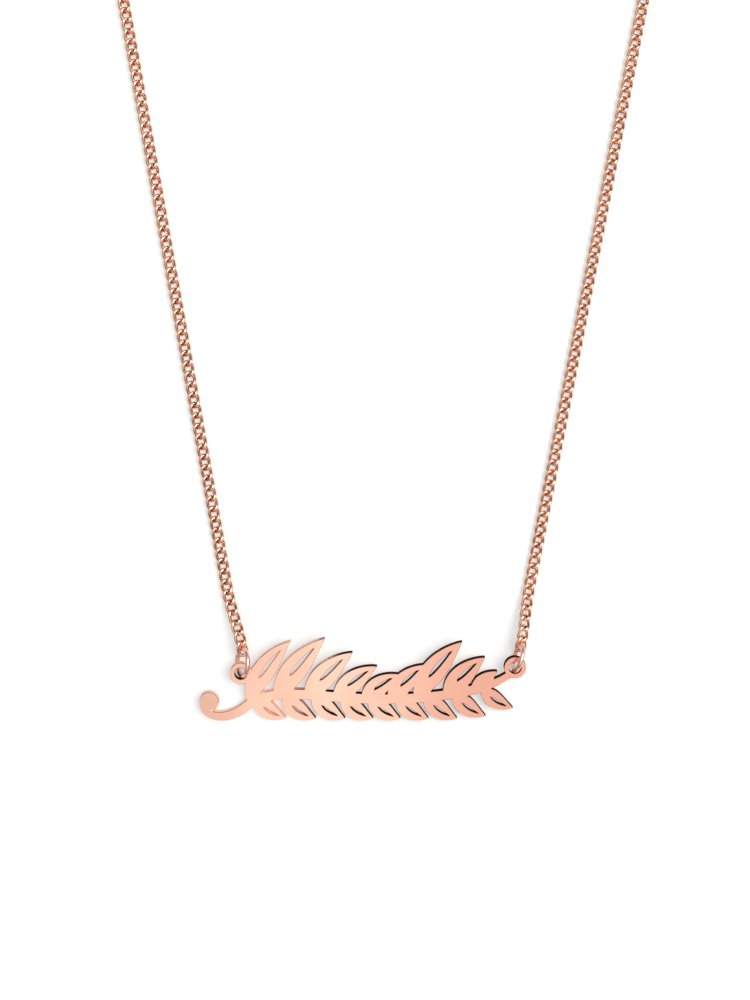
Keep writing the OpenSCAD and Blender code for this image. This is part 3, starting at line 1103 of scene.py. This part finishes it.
def light_room(studio):
    """A room that is bright overhead and darker towards the horizon"""
    world = bpy.data.worlds.new("room")
    world.use_nodes = True
    world.node_tree.nodes.clear()
    bpy.context.scene.world = world
    start = Wire(world.node_tree)
    direction = start.node("ShaderNodeTexCoord", out="Generated")
    height = start.node("ShaderNodeSeparateXYZ", {}, {"Vector": direction}, out="Z")
    dim_up_to, bright_from = 0.45, 0.88
    overhead = height.ease(dim_up_to, bright_from)
    strength = studio.horizon + (studio.sky - studio.horizon) * overhead
    room = start.node("ShaderNodeBackground", {}, {"Color": rgba(DAYLIGHT), "Strength": strength})
    backdrop = start.node("ShaderNodeBackground", {}, {"Color": rgba(WHITE), "Strength": studio.backdrop})
    seen = start.node("ShaderNodeLightPath", out="Is Camera Ray")
    mixed = start.node("ShaderNodeMixShader", {}, {0: seen, 1: room, 2: backdrop})
    start.node("ShaderNodeOutputWorld", {}, {"Surface": mixed})


def build_stage():
    """A plain pale table, soft light and a camera that looks straight down"""
    studio = bpy.context.scene.necklace_studio
    half = 3.0
    below = -0.01 * MM
    mesh = bpy.data.meshes.new("table")
    corners = [(-half, -half, below), (half, -half, below), (half, half, below), (-half, half, below)]
    mesh.from_pydata(corners, [], [(0, 1, 2, 3)])
    mesh.materials.append(table_white())
    add_object("table", mesh)

    middle = (studio.eye_x, studio.eye_y, 0.0)
    light_room(studio)
    add_panel(
        "key",
        place=(0.36, 0.0, 0.70),
        target=middle,
        size=(0.50, 0.50),
        brightness=studio.key,
        tone=LAMPLIGHT,
    )
    add_panel(
        "strip",
        place=(-0.025, -0.305, 0.46),
        target=middle,
        size=(0.07, 0.36),
        brightness=studio.strip,
        tone=WARM_WHITE,
    )
    add_camera(studio)


def add_camera(studio):
    """A camera over the middle of the picture that looks straight down"""
    camera = bpy.data.cameras.new("camera")
    camera.lens = studio.lens
    camera.sensor_fit = "AUTO"
    camera.sensor_width = 36.0
    camera.clip_start = 1 * MM
    camera.clip_end = 100.0
    eye = bpy.data.objects.new("camera", camera)
    eye.location = (studio.eye_x, studio.eye_y, studio.eye_height)
    bpy.context.scene.collection.objects.link(eye)
    bpy.context.scene.camera = eye
    bpy.context.scene.view_settings.view_transform = "Standard"


# Operators and panel


class NECKLACE_OT_stage(bpy.types.Operator):
    """Adds the table, the lights and the camera"""

    bl_idname = "necklace.stage"
    bl_label = "Stage"

    def execute(self, context):
        build_stage()
        return {"FINISHED"}


class NECKLACE_OT_plate(bpy.types.Operator):
    """Builds the pierced plate with its polished rims"""

    bl_idname = "necklace.plate"
    bl_label = "Plate"

    def execute(self, context):
        build_plate(Route())
        return {"FINISHED"}


class NECKLACE_OT_rings(bpy.types.Operator):
    """Builds the four jump rings"""

    bl_idname = "necklace.rings"
    bl_label = "Jump Rings"

    def execute(self, context):
        build_rings(Route())
        return {"FINISHED"}


class NECKLACE_OT_chains(bpy.types.Operator):
    """Builds both strands of curb links"""

    bl_idname = "necklace.chains"
    bl_label = "Curb Chain"

    def execute(self, context):
        build_chains(Route())
        return {"FINISHED"}


class NECKLACE_OT_clasp(bpy.types.Operator):
    """Builds the spring-ring clasp"""

    bl_idname = "necklace.clasp"
    bl_label = "Clasp"

    def execute(self, context):
        build_clasp(Route())
        return {"FINISHED"}


class NECKLACE_PT_pieces(bpy.types.Panel):
    """Lists the necklace's operators"""

    bl_label = "Necklace"
    bl_idname = "NECKLACE_PT_pieces"
    bl_space_type = "VIEW_3D"
    bl_region_type = "UI"
    bl_category = "Necklace"

    def draw(self, context):
        for operator in OPERATORS:
            self.layout.operator(operator.bl_idname)


SETTINGS = {
    "necklace_sizes": NecklaceSizes,
    "necklace_colours": NecklaceColours,
    "necklace_studio": NecklaceStudio,
}
OPERATORS = (
    NECKLACE_OT_stage,
    NECKLACE_OT_plate,
    NECKLACE_OT_rings,
    NECKLACE_OT_chains,
    NECKLACE_OT_clasp,
)


def register():
    for made in (*SETTINGS.values(), *OPERATORS, NECKLACE_PT_pieces):
        bpy.utils.register_class(made)
    for name, group in SETTINGS.items():
        setattr(bpy.types.Scene, name, PointerProperty(type=group))


def unregister():
    for name in SETTINGS:
        delattr(bpy.types.Scene, name)
    for made in reversed((*SETTINGS.values(), *OPERATORS, NECKLACE_PT_pieces)):
        bpy.utils.unregister_class(made)


def main():
    """Builds every piece"""
    register()
    bpy.ops.necklace.stage()
    bpy.ops.necklace.plate()
    bpy.ops.necklace.rings()
    bpy.ops.necklace.chains()
    bpy.ops.necklace.clasp()


if __name__ == "__main__":
    main()
